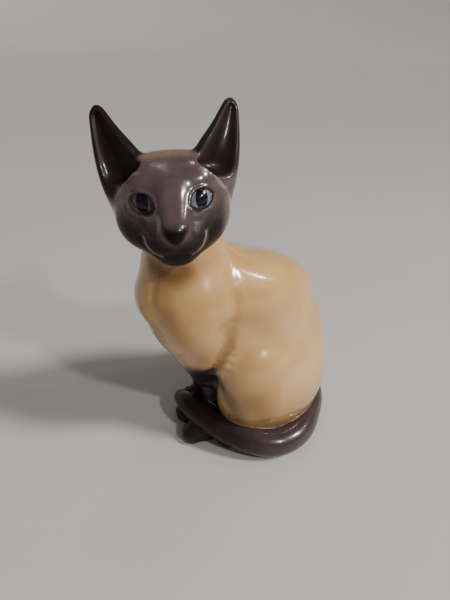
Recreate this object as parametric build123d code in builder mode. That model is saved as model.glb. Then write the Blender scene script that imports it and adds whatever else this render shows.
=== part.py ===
"""A glazed ceramic cat that sits upright, looks over its left shoulder and wraps its tail round its paws.

It is slip-cast: a hollow body and a hollow head, with ears, legs, hind feet, tail and base plate made
separately and luted on while the clay is leather hard. Each of those castings is a solid of its own, and
they meet face to face. The origin is the centre of the base plate's underside, with +Z up.

Two sub-frames keep the numbers short. In BODY, x runs towards the chest, y towards the cat's left and
z up. In HEAD, x runs towards the cat's left, y towards the back of the skull and z up.
"""

from build123d import *
import os
from math import cos, radians, sin

# Driving dimensions, in mm and degrees.
WALL = 4.0                       # thickness of the hollow castings
BODY_YAW = 30.0                  # the chest turns this far from -X towards -Y
HEAD_CENTRE = (-39.5, -31.0, 151.0)
HEAD_YAW = 7.0                   # the face turns this far from -Y towards +X
HEAD_ROLL = 2.5                  # the cat's left ear stands this much higher

# The torso is a loft of level ellipses: height, offset towards the chest, half length, half width.
TORSO_SECTIONS = [
    (0.0, -7.0, 29.0, 27.0),
    (12.0, -9.0, 35.0, 32.0),
    (36.0, -13.0, 37.0, 35.0),
    (60.0, -3.0, 43.5, 33.0),
    (84.0, 12.5, 51.0, 30.0),
    (101.0, 22.0, 47.0, 27.0),
    (110.0, 30.5, 36.0, 22.5),
    (118.0, 38.5, 25.5, 19.0),
    (130.0, 42.5, 19.5, 16.5),
    (146.0, 43.5, 13.0, 12.5),
]
TORSO_TOP = 146.0                # the neck ends here, inside the head

HAUNCH_CENTRE = (1.0, 19.0, 33.0)
HAUNCH_RADII = (32.0, 23.0, 32.0)

# The head's masses in HEAD, each a centre and three radii: skull, cheeks and muzzle.
HEAD_MASSES = [
    ((0.0, 0.0, 0.0), (26.0, 22.5, 21.0)),
    ((0.5, -6.0, -6.0), (24.0, 17.0, 16.5)),
    ((1.0, -15.0, -9.0), (13.5, 18.0, 12.0)),
]
# The body's and the head's hollows meet through this round opening under the skull, in BODY.
NECK_OPENING_CENTRE = (45.0, 5.0, 118.0)
NECK_OPENING_DEPTH = 24.0
NECK_OPENING_RADIUS = 9.0

# The ear is a loft of crescents: x, y, z of the centre, half width, half depth.
EAR_SECTIONS = [
    (15.5, -1.0, 8.0, 14.0, 8.0),
    (20.5, -0.5, 18.0, 12.0, 7.0),
    (25.5, 4.0, 28.0, 8.0, 5.2),
    (28.6, 9.0, 37.5, 3.2, 2.8),
]
EAR_CUP = 0.74                   # the cup's share of each crescent's size
EAR_LEAN = 32.0                  # the crescents' long axis dips outwards by this much

# A leg is a loft of circles: offset to the chest, offset from the midline, height, radius.
FORELEG_SECTIONS = [
    (32.0, 7.5, 76.0, 7.4),
    (32.0, 6.4, 55.0, 6.2),
    (31.5, 6.0, 34.0, 5.8),
    (31.0, 6.8, 16.0, 6.0),
    (32.0, 8.2, 5.0, 6.2),
]
FORELEG_MIDLINE = 0.7            # the forelegs stand this much towards the cat's left
FOREPAW_CENTRE = (40.0, 8.7, 5.0)
FOREPAW_RADII = (13.0, 8.5, 8.0)
HIND_FOOT_CENTRE = (14.0, 22.5, 4.5)
HIND_FOOT_RADII = (20.0, 7.5, 7.5)

# The tail's centre line in BODY, with its radius at each point.
TAIL_SECTIONS = [
    (-36.0, 6.0, 17.0, 9.5),
    (-31.0, 23.0, 11.0, 9.5),
    (-20.0, 34.5, 9.5, 9.4),
    (-7.0, 42.5, 9.3, 9.3),
    (10.0, 43.0, 9.0, 8.9),
    (25.0, 32.0, 9.3, 8.0),
    (39.5, 12.0, 14.0, 6.4),
    (43.5, -6.0, 17.5, 5.2),
    (42.0, -19.0, 12.5, 4.2),
]

BASE_PLATE_RADIUS = 17.0
BASE_PLATE_THICKNESS = 4.0
VENT_RADIUS = 1.5                # lets the steam out of the hollow when the clay is fired
VENT_OFFSET = 9.0                # from the plate's centre, towards -X

CHEST_DIRECTION = (-cos(radians(BODY_YAW)), -sin(radians(BODY_YAW)), 0.0)
BODY = Plane(origin=(0, 0, 0), x_dir=CHEST_DIRECTION, z_dir=(0, 0, 1))
HEAD = (
    Plane(
        origin=HEAD_CENTRE,
        x_dir=(cos(radians(HEAD_YAW)), sin(radians(HEAD_YAW)), 0.0),
        z_dir=(0, 0, 1),
    )
    .rotated((0, -HEAD_ROLL, 0))
)


def in_frame(frame, point, z_dir=(0, 0, 1), x_dir=(1, 0, 0)):
    """A plane whose origin and directions are given in another frame."""
    origin = frame.from_local_coords(Vector(*point))
    zero = frame.from_local_coords(Vector(0, 0, 0))
    return Plane(
        origin=origin,
        x_dir=frame.from_local_coords(Vector(*x_dir)) - zero,
        z_dir=frame.from_local_coords(Vector(*z_dir)) - zero,
    )


def ellipsoid(frame, centre, radii):
    """A ball scaled along the frame's own directions."""
    ball = scale(Sphere(1), by=tuple(radii))
    return in_frame(frame, centre).location * ball


def build_torso(inset, low, high):
    """The torso and both thighs as one solid, pulled in by inset, between two heights."""
    x, y, z = HAUNCH_CENTRE
    radii = [radius - inset for radius in HAUNCH_RADII]
    haunches = [ellipsoid(BODY, (x, side * y, z), radii) for side in (1, -1)]
    with BuildPart() as torso:
        for height, forward, half_length, half_width in TORSO_SECTIONS:
            with BuildSketch(in_frame(BODY, (forward, 0, height))):
                Ellipse(half_length - inset, half_width - inset)
        loft()
        for haunch in haunches:
            add(haunch)
        split(bisect_by=Plane.XY.offset(low))
        split(bisect_by=Plane.XY.offset(high), keep=Keep.BOTTOM)
    return torso.part


def build_skull(inset):
    """The skull and muzzle as one solid, pulled in by inset."""
    masses = [ellipsoid(HEAD, centre, [r - inset for r in radii]) for centre, radii in HEAD_MASSES]
    with BuildPart() as skull:
        add(masses)
    return skull.part


def build_ear(side, skull):
    """A cupped ear, open to the front, with its root shaped to the skull."""
    with BuildPart() as ear:
        for share, forward_shift in ((1.0, 0.0), (EAR_CUP, 0.55)):
            for x, y, z, half_width, half_depth in EAR_SECTIONS:
                lean = radians(EAR_LEAN)
                plane = in_frame(
                    HEAD,
                    (side * x, y - forward_shift * half_depth, z),
                    z_dir=(side * sin(lean), 0.0, cos(lean)),
                    x_dir=(cos(lean), 0.0, -side * sin(lean)),
                )
                with BuildSketch(plane):
                    Ellipse(share * half_width, share * half_depth)
            loft(mode=Mode.ADD if share == 1.0 else Mode.SUBTRACT)
        add(skull, mode=Mode.SUBTRACT)
    return ear.part.solids().sort_by(SortBy.VOLUME)[-1]


def build_tube(sections):
    """A loft of circles square to the smooth line through sections, each x, y, z and radius in BODY."""
    points = [BODY.from_local_coords(Vector(x, y, z)) for x, y, z, _ in sections]
    with BuildLine() as line:
        path = Spline(*points)
    with BuildPart() as tube:
        for point, (_, _, _, radius) in zip(points, sections):
            tangent = path % path.param_at_point(point)
            with BuildSketch(Plane(origin=point, z_dir=tangent)):
                Circle(radius)
        loft()
    return tube.part


def build_foreleg(side, torso):
    """A foreleg and its paw, cut to the chest that it is luted to."""
    sections = [
        (x, FORELEG_MIDLINE + side * y, z, radius) for x, y, z, radius in FORELEG_SECTIONS
    ]
    tube = build_tube(sections)
    x, y, z = FOREPAW_CENTRE
    paw = ellipsoid(BODY, (x, FORELEG_MIDLINE + side * y, z), FOREPAW_RADII)
    with BuildPart() as leg:
        add(tube)
        add(paw)
        split(bisect_by=Plane.XY)
        add(torso, mode=Mode.SUBTRACT)
    return leg.part.solids().sort_by(SortBy.VOLUME)[-1]


def build_hind_foot(side, torso, foreleg):
    """A hind foot that lies flat beside the base."""
    x, y, z = HIND_FOOT_CENTRE
    whole = ellipsoid(BODY, (x, side * y, z), HIND_FOOT_RADII)
    with BuildPart() as foot:
        add(whole)
        split(bisect_by=Plane.XY)
        add(torso, mode=Mode.SUBTRACT)
        add(foreleg, mode=Mode.SUBTRACT)
    return foot.part.solids().sort_by(SortBy.VOLUME)[-1]


torso_outside = build_torso(0.0, 0.0, TORSO_TOP)
torso_inside = build_torso(WALL, BASE_PLATE_THICKNESS, TORSO_TOP)
skull_outside = build_skull(0.0)
skull_inside = build_skull(WALL)

with BuildPart() as body_shell:
    add(torso_outside)
    add(skull_outside, mode=Mode.SUBTRACT)
    add(torso_inside, mode=Mode.SUBTRACT)
    with BuildSketch(Plane.XY):
        Circle(BASE_PLATE_RADIUS)
    extrude(amount=BASE_PLATE_THICKNESS, mode=Mode.SUBTRACT)

with BuildPart() as head_shell:
    add(skull_outside)
    add(skull_inside, mode=Mode.SUBTRACT)
    with BuildSketch(in_frame(BODY, NECK_OPENING_CENTRE)):
        Circle(NECK_OPENING_RADIUS)
    extrude(amount=NECK_OPENING_DEPTH, mode=Mode.SUBTRACT)

with BuildPart() as base_plate:
    with BuildSketch(Plane.XY):
        Circle(BASE_PLATE_RADIUS)
        with Locations((-VENT_OFFSET, 0)):
            Circle(VENT_RADIUS, mode=Mode.SUBTRACT)
    extrude(amount=BASE_PLATE_THICKNESS)

pieces = {"body_shell": body_shell.part, "head_shell": head_shell.part, "base_plate": base_plate.part}
for name, side in (("left", 1), ("right", -1)):
    pieces[f"{name}_ear"] = build_ear(side, skull_outside)
    pieces[f"{name}_foreleg"] = build_foreleg(side, torso_outside)
    pieces[f"{name}_hind_foot"] = build_hind_foot(side, torso_outside, pieces[f"{name}_foreleg"])

tail_rod = build_tube(TAIL_SECTIONS)
with BuildPart() as tail:
    add(tail_rod)
    split(bisect_by=Plane.XY)
    add(torso_outside, mode=Mode.SUBTRACT)
    for name in ("left_foreleg", "right_foreleg", "left_hind_foot", "right_hind_foot"):
        add(pieces[name], mode=Mode.SUBTRACT)
pieces["tail"] = tail.part.solids().sort_by(SortBy.VOLUME)[-1]

os.makedirs("parts", exist_ok=True)
for name, piece in pieces.items():
    piece.label = name
    export_step(piece, f"parts/{name}.step")
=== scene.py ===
"""A glazed ceramic cat that sits upright, built round its CAD model.

The whole cat is one field of distances, negative inside: ellipsoids, lofts and tubes that are joined and
carved smoothly. The field is meshed once, each face goes to the casting that it lies nearest to, and each
casting is closed with faces along its seams, so the glaze runs over the seams without a step.

Shapes are in millimetres, in the row's own frame or in one of two others. BODY has x to the chest and y to
the cat's left. HEAD has x to the cat's left and y to the back of the skull. Both have z up.
"""

from math import cos, radians, sin

import bpy
import numpy as np
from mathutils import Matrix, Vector


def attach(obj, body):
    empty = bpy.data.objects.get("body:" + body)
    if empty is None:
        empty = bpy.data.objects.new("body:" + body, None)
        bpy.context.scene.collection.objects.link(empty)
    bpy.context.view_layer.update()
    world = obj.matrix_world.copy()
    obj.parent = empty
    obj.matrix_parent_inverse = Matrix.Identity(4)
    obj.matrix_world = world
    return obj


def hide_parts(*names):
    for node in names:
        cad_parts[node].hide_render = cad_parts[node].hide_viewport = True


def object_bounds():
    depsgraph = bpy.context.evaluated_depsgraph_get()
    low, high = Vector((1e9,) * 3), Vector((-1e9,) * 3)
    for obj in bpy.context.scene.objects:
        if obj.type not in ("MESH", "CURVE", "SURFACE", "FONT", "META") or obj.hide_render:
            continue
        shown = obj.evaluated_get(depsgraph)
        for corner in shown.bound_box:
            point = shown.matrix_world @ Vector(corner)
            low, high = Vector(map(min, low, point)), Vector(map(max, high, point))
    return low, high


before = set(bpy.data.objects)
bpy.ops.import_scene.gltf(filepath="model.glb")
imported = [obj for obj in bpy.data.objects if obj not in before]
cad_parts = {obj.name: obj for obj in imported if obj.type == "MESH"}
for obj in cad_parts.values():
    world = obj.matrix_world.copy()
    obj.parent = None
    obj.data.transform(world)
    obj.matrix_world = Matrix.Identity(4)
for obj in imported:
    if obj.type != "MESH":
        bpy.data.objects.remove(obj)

cad_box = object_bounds()

MM = 0.001
CELL = 0.78  # the mesh's spacing
COARSE = 4  # fine cells along a coarse one

# ---------------------------------------------------------------- frames

BODY_YAW = 30.0
HEAD_CENTRE = np.array([-39.5, -31.0, 151.0])
HEAD_YAW = 7.0
HEAD_ROLL = 2.5
MIDLINE_ROUND = 1.6  # how widely the head's two halves are rounded into each other


def turned(yaw, roll=0.0):
    """A frame's x, y and z directions, as rows."""
    c, s = cos(radians(yaw)), sin(radians(yaw))
    level = np.array([[c, s, 0.0], [-s, c, 0.0], [0.0, 0.0, 1.0]])
    c, s = cos(radians(roll)), sin(radians(roll))
    return np.array([[c, 0.0, s], [0.0, 1.0, 0.0], [-s, 0.0, c]]) @ level


BODY_AXES = turned(180.0 + BODY_YAW)
HEAD_AXES = turned(HEAD_YAW, HEAD_ROLL)


def to_body(points):
    return points @ BODY_AXES.T


def to_head(points):
    return (points - HEAD_CENTRE) @ HEAD_AXES.T


def mirrored(points):
    """HEAD points with x made positive, smoothly, for a shape that both sides of the head have."""
    folded = points.copy()
    folded[:, 0] = np.hypot(points[:, 0], MIDLINE_ROUND)
    return folded


def from_side(points, side):
    """BODY points as the cat's left side sees them, for side 1, or its right, for -1."""
    return points * [1, side, 1]


def on_side(route):
    """A route of x and z as one of x, y and z, for points whose y is flattened to 0."""
    return [(x, 0.0, z) for x, z in route]


# ---------------------------------------------------------------- shapes


def smooth_step(value, low, high):
    """From 0 at low to 1 at high, with level ends."""
    t = np.clip((value - low) / (high - low), 0.0, 1.0)
    return t * t * (3.0 - 2.0 * t)


def join(a, b, blend):
    """Both shapes as one, with a fillet that starts where their distances differ by blend."""
    overlap = np.clip(blend - np.abs(a - b), 0.0, None) / blend
    return np.minimum(a, b) - overlap**3 * blend / 6.0


def carve(a, b, blend):
    """Shape a without shape b, with a rounded rim."""
    return -join(-a, b, blend)


def clip(a, b, blend):
    """What shapes a and b have in common."""
    return -join(-a, -b, blend)


def natural_spline(knots, values):
    """A function of t that gives the smooth curve through values, and its slope."""
    knots, values = np.array(knots, float), np.array(values, float)
    gaps = np.diff(knots)[:, None]
    rises = np.diff(values, axis=0) / gaps
    count = len(knots)
    system, right = np.eye(count), np.zeros(values.shape)
    for i in range(1, count - 1):
        before, after = gaps[i - 1, 0], gaps[i, 0]
        system[i, i - 1:i + 2] = before, 2.0 * (before + after), after
        right[i] = 6.0 * (rises[i] - rises[i - 1])
    bend = np.linalg.solve(system, right)

    def at(t):
        t = np.clip(t, knots[0], knots[-1])
        i = np.clip(np.searchsorted(knots, t, side="right") - 1, 0, count - 2)
        gap = gaps[i]
        b = (t - knots[i])[:, None] / gap
        a = 1.0 - b
        sag = ((a**3 - a) * bend[i] + (b**3 - b) * bend[i + 1]) * gap * gap / 6.0
        tilt = ((1.0 - 3.0 * a * a) * bend[i] + (3.0 * b * b - 1.0) * bend[i + 1]) * gap / 6.0
        return a * values[i] + b * values[i + 1] + sag, rises[i] + tilt

    return at


def ellipsoid(points, centre, radii):
    v = (points - np.array(centre)) / radii
    size = np.linalg.norm(v, axis=1) + 1e-6
    return size * (size - 1.0) / (np.linalg.norm(v / radii, axis=1) + 1e-9)


def loft(points, sections):
    """Level ellipses joined smoothly: each row is z, centre x, centre y, half length x, half width y."""
    rows = np.array(sections)
    here, slope = natural_spline(rows[:, 0], rows[:, 1:])(points[:, 2])
    along = (points[:, :2] - here[:, :2]) / here[:, 2:]
    size = np.linalg.norm(along, axis=1) + 1e-6
    outward = along / size[:, None]
    level = outward / here[:, 2:]
    rise = (level * slope[:, :2] + outward * level * slope[:, 2:]).sum(1)
    return (size - 1.0) / np.sqrt((level * level).sum(1) + rise * rise + 1e-9)


def rod(points, start, end, start_radius, end_radius):
    """A straight round bar with ball ends that tapers."""
    start, end = np.array(start, float), np.array(end, float)
    span = end - start
    t = np.clip((points - start) @ span / (span @ span), 0.0, 1.0)
    gap = np.linalg.norm(points - start - t[:, None] * span, axis=1)
    return gap - start_radius - t * (end_radius - start_radius)


def tube(points, sections, samples=33, rounds=3):
    """A bent round bar that tapers: each row is x, y, z and radius. Also gives how far along each point is.

    The nearest of the samples is the first guess at the nearest place, and each round brings it closer.
    """
    rows = np.array(sections)
    last = len(rows) - 1.0
    at = natural_spline(range(len(rows)), rows)
    guesses = np.linspace(0.0, last, samples)
    nearest = np.full(len(points), np.inf)
    t = np.zeros(len(points))
    for guess, place in zip(guesses, at(guesses)[0][:, :3]):
        gap = ((points - place) ** 2).sum(1)
        closer = gap < nearest
        nearest[closer], t[closer] = gap[closer], guess
    for _ in range(rounds):
        here, slope = at(t)
        away, ahead = points - here[:, :3], slope[:, :3]
        t = np.clip(t + (away * ahead).sum(1) / ((ahead * ahead).sum(1) + 1e-9), 0.0, last)
    here, _ = at(t)
    return np.linalg.norm(points - here[:, :3], axis=1) - here[:, 3], t


def stroke(points, route, width):
    """1 on a smooth line through route, and 0 from 2.6 widths away. Used for creases, ridges and tints."""
    at = natural_spline(range(len(route)), route)
    line = at(np.linspace(0.0, len(route) - 1.0, 6 * len(route)))[0]
    reach = 2.6 * width
    near = ((points > line.min(0) - reach) & (points < line.max(0) + reach)).all(1)
    close = points[near]
    gap = np.full(len(close), np.inf)
    for start, end in zip(line[:-1], line[1:]):
        gap = np.minimum(gap, rod(close, start, end, 0.0, 0.0))
    mark = np.zeros(len(points))
    mark[near] = np.exp(-((gap / width) ** 2))
    return mark


# ---------------------------------------------------------------- the torso and limbs

# BODY: height, offset to the chest, offset to the left, half length, half width.
TORSO = [
    (0.0, -7.0, 0.0, 29.0, 27.0),
    (12.0, -9.0, 0.0, 35.0, 32.0),
    (36.0, -13.0, 0.0, 37.0, 35.0),
    (60.0, -3.0, 0.0, 43.5, 33.0),
    (84.0, 12.5, 0.0, 51.0, 30.0),
    (101.0, 22.0, 0.0, 47.0, 27.0),
    (110.0, 30.5, 0.0, 36.0, 22.5),
    (118.0, 38.5, 0.0, 25.5, 19.0),
    (130.0, 42.5, 0.0, 19.5, 16.5),
    (146.0, 43.5, 0.0, 13.0, 12.5),
]
NECK_TOP = 144.0
# BODY, for the left leg: height, offset to the chest, offset from the midline, radii.
FORELEG = [
    (0.0, 32.5, 8.6, 6.4, 6.2),
    (5.0, 32.0, 8.2, 6.2, 6.2),
    (16.0, 31.0, 6.8, 6.0, 6.0),
    (34.0, 31.8, 6.1, 6.4, 6.1),
    (46.0, 33.0, 6.4, 7.6, 7.2),
    (58.0, 35.5, 7.4, 10.0, 9.6),
    (76.0, 39.5, 9.0, 11.5, 11.0),
]
LEG_TOP = 72.0
LEG_MIDLINE = 0.7
PAW_BACK = {1: 2.0, -1: 6.0}  # how far the left and the right paw are drawn back
# BODY, on the left side: each toe's x, y and radius on a forepaw, and its x and y on a hind foot.
PAW_TOES = [(48.8, 4.6, 3.4), (50.2, 8.2, 3.6), (49.4, 12.0, 3.4)]
FOOT_TOES = [(31.5, 19.4), (33.0, 22.8), (31.8, 26.0)]
# BODY: x, y, z and radius along the tail, from its root.
TAIL = [
    (-40.5, -4.0, 19.0, 9.0),
    (-38.5, 10.0, 11.0, 8.6),
    (-31.5, 24.0, 8.0, 7.8),
    (-20.5, 34.2, 7.9, 7.9),
    (-7.0, 42.9, 8.2, 8.2),
    (10.0, 43.5, 8.3, 8.3),
    (25.0, 32.0, 11.0, 8.4),
    (38.5, 12.0, 14.8, 7.2),
    (42.5, -5.0, 14.8, 6.0),
    (41.0, -17.0, 9.5, 4.8),
]
# BODY, on the left side: the lines of the folds, from the top down or the front back.
SHOULDER_FOLD = [
    (20.9, 5.2, 124.0), (24.6, 16.5, 117.4), (27.1, 23.7, 108.7), (27.8, 27.9, 99.7), (29.0, 29.2, 89.0),
]
STIFLE_FOLD = [(29.0, 29.2, 88.0), (31.6, 28.0, 77.5), (35.7, 26.8, 69.1), (38.5, 20.8, 57.0)]
NECK_FOLD = [(25.5, 9.2, 128.1), (21.2, 8.7, 122.0), (16.3, 11.4, 117.0), (12.3, 14.7, 113.5)]
CHEST_CREASE = [(61.5, 7.5, 121.5), (62.8, 8.6, 113.0), (64.8, 11.0, 104.0), (63.5, 14.0, 95.0)]
CHEST_RIDGE = [(62.5, 4.1, 121.6), (63.0, 6.0, 113.3), (65.0, 7.5, 103.9)]
THIGH_FOLD = [(33.0, 29.0, 85.0), (22.0, 30.0, 84.0), (12.0, 31.0, 80.5), (2.0, 32.0, 74.0)]
# Each one's depth, which is negative for a ridge, its width and its line.
FOLDS = [
    (0.8, 3.2, SHOULDER_FOLD),
    (1.9, 2.9, STIFLE_FOLD),
    (0.8, 2.0, NECK_FOLD),
    (0.7, 2.2, CHEST_CREASE),
    (-0.5, 1.6, CHEST_RIDGE),
]
# BODY x and z: the short wrinkles that fan out from the stifle.
WRINKLES = [
    [(36.8, 61.8), (34.0, 63.2), (31.0, 63.6)],
    [(36.6, 65.0), (33.4, 67.2), (29.8, 68.4)],
    [(36.0, 68.4), (33.0, 71.0), (30.2, 73.2)],
    [(35.0, 71.0), (32.8, 74.4), (31.2, 77.4)],
    [(37.4, 58.4), (34.6, 58.8), (32.0, 58.2)],
]
WRINKLE_DEPTH, WRINKLE_WIDTH = 0.55, 1.15


def torso_field(b):
    body = clip(loft(b, TORSO), b[:, 2] - NECK_TOP, 4.0)
    rump_blend = 3.0 + 9.0 * smooth_step(-b[:, 0], -30.0, -8.0)
    for side in (from_side(b, 1), from_side(b, -1)):
        haunch = ellipsoid(side, (-0.5, 19.0, 32.0), (34.0, 24.8, 32.0))
        thigh = ellipsoid(side, (9.5, 21.5, 50.0), (24.0, 18.6, 23.5))
        shoulder = ellipsoid(side, (41.0, 14.5, 92.0), (19.0, 13.0, 21.0))
        elbow = ellipsoid(side, (33.0, 15.0, 66.0), (11.0, 11.5, 13.0))
        upper_leg = rod(side, (46.0, 7.0, 78.0), (34.5, 5.5, 44.0), 14.0, 8.0)
        breast = ellipsoid(side, (57.6, 6.5, 101.0), (8.6, 8.4, 10.0))
        body = join(body, haunch, rump_blend)
        body = join(body, thigh, 5.0)
        body = join(body, shoulder, 12.0)
        body = join(body, elbow, 10.0)
        body = join(body, upper_leg, 12.0)
        body = join(body, breast, 4.0)
        for depth, width, route in FOLDS:
            body += depth * stroke(side, route, width)
        body += 3.0 * smooth_step(side[:, 0], -4.0, 26.0) * stroke(side, THIGH_FOLD, 7.5)
        flat = side * [1, 0, 1]
        outer = smooth_step(side[:, 1], 12.0, 20.0)
        for wrinkle in WRINKLES:
            body += WRINKLE_DEPTH * outer * stroke(flat, on_side(wrinkle), WRINKLE_WIDTH)
    return body


def foreleg_field(b, side):
    q = from_side(b - [0.0, LEG_MIDLINE, 0.0], side)
    leg = clip(loft(q, FORELEG), q[:, 2] - LEG_TOP, 8.0)
    q = q + [PAW_BACK[side], 0.0, 0.0]
    paw = ellipsoid(q, (39.5, 8.7, 5.2), (13.5, 8.6, 9.4))
    for x, y, r in PAW_TOES:
        paw = join(paw, ellipsoid(q, (x, y, 3.8), (r + 1.2, r, r + 0.8)), 2.4)
    return join(leg, paw, 5.0)


def hind_foot_field(b, side):
    q = from_side(b, side)
    foot = ellipsoid(q, (14.0, 22.5, 4.5), (20.0, 7.5, 7.5))
    for x, y in FOOT_TOES:
        foot = join(foot, ellipsoid(q, (x, y, 3.2), (3.6, 2.6, 3.4)), 1.5)
    return foot


# ---------------------------------------------------------------- the head

# The ear's own frame leans outwards from this point of HEAD: height, x, y, half width, half depth.
EAR_ROOT = (15.5, -1.0, 8.0)
EAR_LEAN = {1: 32.0, -1: 29.5}  # degrees, on the cat's left and right
EAR = [
    (-6.0, 2.0, 0.0, 12.8, 8.5),
    (0.0, 1.7, 0.0, 12.0, 8.0),
    (11.1, 0.0, 0.5, 10.2, 7.0),
    (22.3, -1.5, 5.0, 6.6, 5.0),
    (29.0, -3.0, 8.3, 4.3, 3.6),
    (32.2, -3.7, 9.9, 2.8, 2.5),
    (34.0, -4.1, 10.9, 1.3, 1.3),
]
EAR_MIDDLE, EAR_HALF = 13.2, 20.4  # the middle of the ear's height, and half of it
EAR_RIM = 1.6  # how far inside the ear's edge its dish begins
DISH_TOP, DISH_FOOT = 31.5, 5.0  # the heights that the dish lies between
# HEAD, for the cat's left side: the raised edge that runs round the ear's foot.
EAR_RIDGE = [
    (10.6, -14.8, 16.6), (14.7, -13.4, 16.2), (17.8, -12.8, 14.0), (20.2, -11.4, 10.0), (22.9, -8.8, 6.0),
]
EAR_RIDGE_START = (10.5, 15.0)  # HEAD x where that edge rises out of the brow
# HEAD, for the cat's left eye: the middle of the lids' opening, half its length and height, and its tilt.
EYE_X, EYE_Z = 12.4, 5.7
EYE_LENGTH, EYE_HEIGHT = 4.9, 3.7
EYE_TILT = radians(11.0)
EYE_FULLNESS = 2.7  # 2 gives pointed lids, more gives rounder ones
EYE_FRONT = (8.0, 11.0)  # HEAD -y where the face's own marks fade in
LID_DEPTH, BALL_SWELL = 1.15, 1.75  # the eyeball's depth at its lids, and how much it swells
# HEAD x and z, for the cat's left side.
MOUTH = [(0.0, -13.4), (2.2, -14.1), (4.6, -14.0), (6.4, -13.2)]
SMILE = [(12.9, -6.4), (11.8, -9.4), (9.2, -12.4), (6.6, -14.0)]
BELOW_SMILE = [(x + 1.3, z - 1.3) for x, z in SMILE]
LIP_CLEFT = [(0.0, -8.0), (0.0, -12.5)]
# The hollow of each cheek, where shade is painted.
CHEEK_HOLLOW_SHADE = [(16.5, -4.0), (14.5, -9.5), (10.5, -13.8)]


def ear_fields(h, side):
    """The whole ear, and the shallow dish that is scooped out of its front."""
    q = h * [side, 1, 1] - EAR_ROOT
    lean = radians(EAR_LEAN[side])
    c, s = cos(lean), sin(lean)
    q = np.stack([q[:, 0] * c - q[:, 2] * s, q[:, 1], q[:, 0] * s + q[:, 2] * c], 1)
    outside = clip(loft(q, EAR), np.abs(q[:, 2] - EAR_MIDDLE) - EAR_HALF, 3.0)
    dish = np.array(EAR)
    dish[:, 2] -= 0.95 * dish[:, 4]
    dish[:, 3] = np.clip(dish[:, 3] - EAR_RIM, 0.6, None)
    dish[:, 4] *= 0.8
    hollow = clip(loft(q, dish), DISH_FOOT + 0.2 * q[:, 0] - q[:, 2], 9.0)
    hollow = clip(hollow, q[:, 2] - DISH_TOP, 2.0)
    return outside, hollow


def eye_plane(m):
    """Where HEAD points are along and up the eye, and how far outside the lids' opening."""
    across, above = m[:, 0] - EYE_X, m[:, 2] - EYE_Z
    along = across * cos(EYE_TILT) + above * sin(EYE_TILT)
    up = above * cos(EYE_TILT) - across * sin(EYE_TILT)
    share = np.abs(along) / EYE_LENGTH
    lid = EYE_HEIGHT * (1.0 - share**EYE_FULLNESS)
    steep = EYE_FULLNESS * EYE_HEIGHT / EYE_LENGTH * share ** (EYE_FULLNESS - 1.0)
    return along, up, (np.abs(up) - lid) / np.sqrt(1.0 + steep * steep)


def plain_head(h, m):
    """The head without its ears, eyeballs and mouth."""
    head = ellipsoid(h, (0.0, 1.0, 1.0), (25.2, 22.0, 20.0))
    cheeks = ellipsoid(m, (9.5, -5.5, -5.0), (15.5, 16.0, 15.0))
    brows = ellipsoid(m, (10.0, -3.0, 11.0), (12.0, 14.0, 9.0))
    jaw = ellipsoid(h, (0.7, -11.0, -11.0), (17.8, 15.5, 10.8))
    muzzle = ellipsoid(h, (0.0, -15.0, -8.0), (13.6, 15.5, 10.5))
    sockets = ellipsoid(m, (12.9, -25.4, 5.6), (7.8, 5.5, 6.4))
    inner_corners = ellipsoid(m, (6.8, -20.0, -0.5), (3.6, 3.6, 4.6))
    broadened = h.copy()
    broadened[:, 0] = np.clip(m[:, 0] - 2.0, 0.0, None)
    bridge = rod(broadened, (0.0, -14.5, 9.5), (0.0, -28.6, -2.0), 5.0, 3.4)
    whisker_pads = ellipsoid(m, (4.6, -22.2, -9.0), (7.0, 8.4, 5.6))
    chin = ellipsoid(h, (0.0, -20.0, -16.2), (8.8, 8.0, 5.9))
    nose = ellipsoid(h, (0.0, -29.4, -4.0), (5.0, 4.8, 4.6))
    head = join(head, cheeks, 6.0)
    head = join(head, brows, 6.0)
    head = join(head, jaw, 5.0)
    head = join(head, muzzle, 6.0)
    head = carve(head, sockets, 5.0)
    head = join(head, inner_corners, 5.0)
    head = join(head, bridge, 7.0)
    head = join(head, whisker_pads, 8.0)
    head = join(head, chin, 4.0)
    return join(head, nose, 3.5)


def head_field(h):
    m = mirrored(h)
    head = plain_head(h, m)
    front = smooth_step(-h[:, 1], *EYE_FRONT)

    along, up, outside = eye_plane(m)
    crown = np.clip(1.0 - (along / EYE_LENGTH) ** 2 - (up / EYE_HEIGHT) ** 2, 0.0, 1.0)
    within = smooth_step(-outside, -0.15, 0.55)
    lids = np.exp(-((outside - 0.75) / 0.75) ** 2)
    lids *= smooth_step(EYE_LENGTH + 1.4 - np.abs(along), 0.0, 1.4)
    head = head + front * (within * (LID_DEPTH - BALL_SWELL * crown) - 0.5 * lids)

    flat = m * [1, 0, 1]
    head = head + front * 0.5 * stroke(flat, on_side(MOUTH), 0.9)
    head = head + front * 0.4 * stroke(flat, on_side(LIP_CLEFT), 0.6)
    head = head - front * 0.4 * stroke(flat, on_side(SMILE), 0.8)
    head = head + front * 0.55 * stroke(flat, on_side(BELOW_SMILE), 1.5)
    return head - 0.45 * smooth_step(m[:, 0], *EAR_RIDGE_START) * stroke(m, EAR_RIDGE, 1.2)


# ---------------------------------------------------------------- the whole cat

PIECES = [
    "body_casting", "head_casting", "ear_left", "ear_right", "foreleg_left", "foreleg_right",
    "hind_foot_left", "hind_foot_right", "tail_casting",
]
FINE_PIECES = ("head_casting", "ear_left", "ear_right")
OUTSIDE = -1  # the number that stands for the air, where a piece's would be
BODY, HEAD, TAIL_PIECE = 0, 1, 8
EARS, LEGS, FEET = slice(2, 4), slice(4, 6), slice(6, 8)
FAR = 30.0  # stands for any distance too great to matter
NEAR = 5.0  # how far from the feet and the tail their tints may reach
PLATE_RADIUS = 17.0
PLATE_THICKNESS = 4.0
PLATE_GAP = 0.15  # between the recess and the base plate in it
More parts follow.
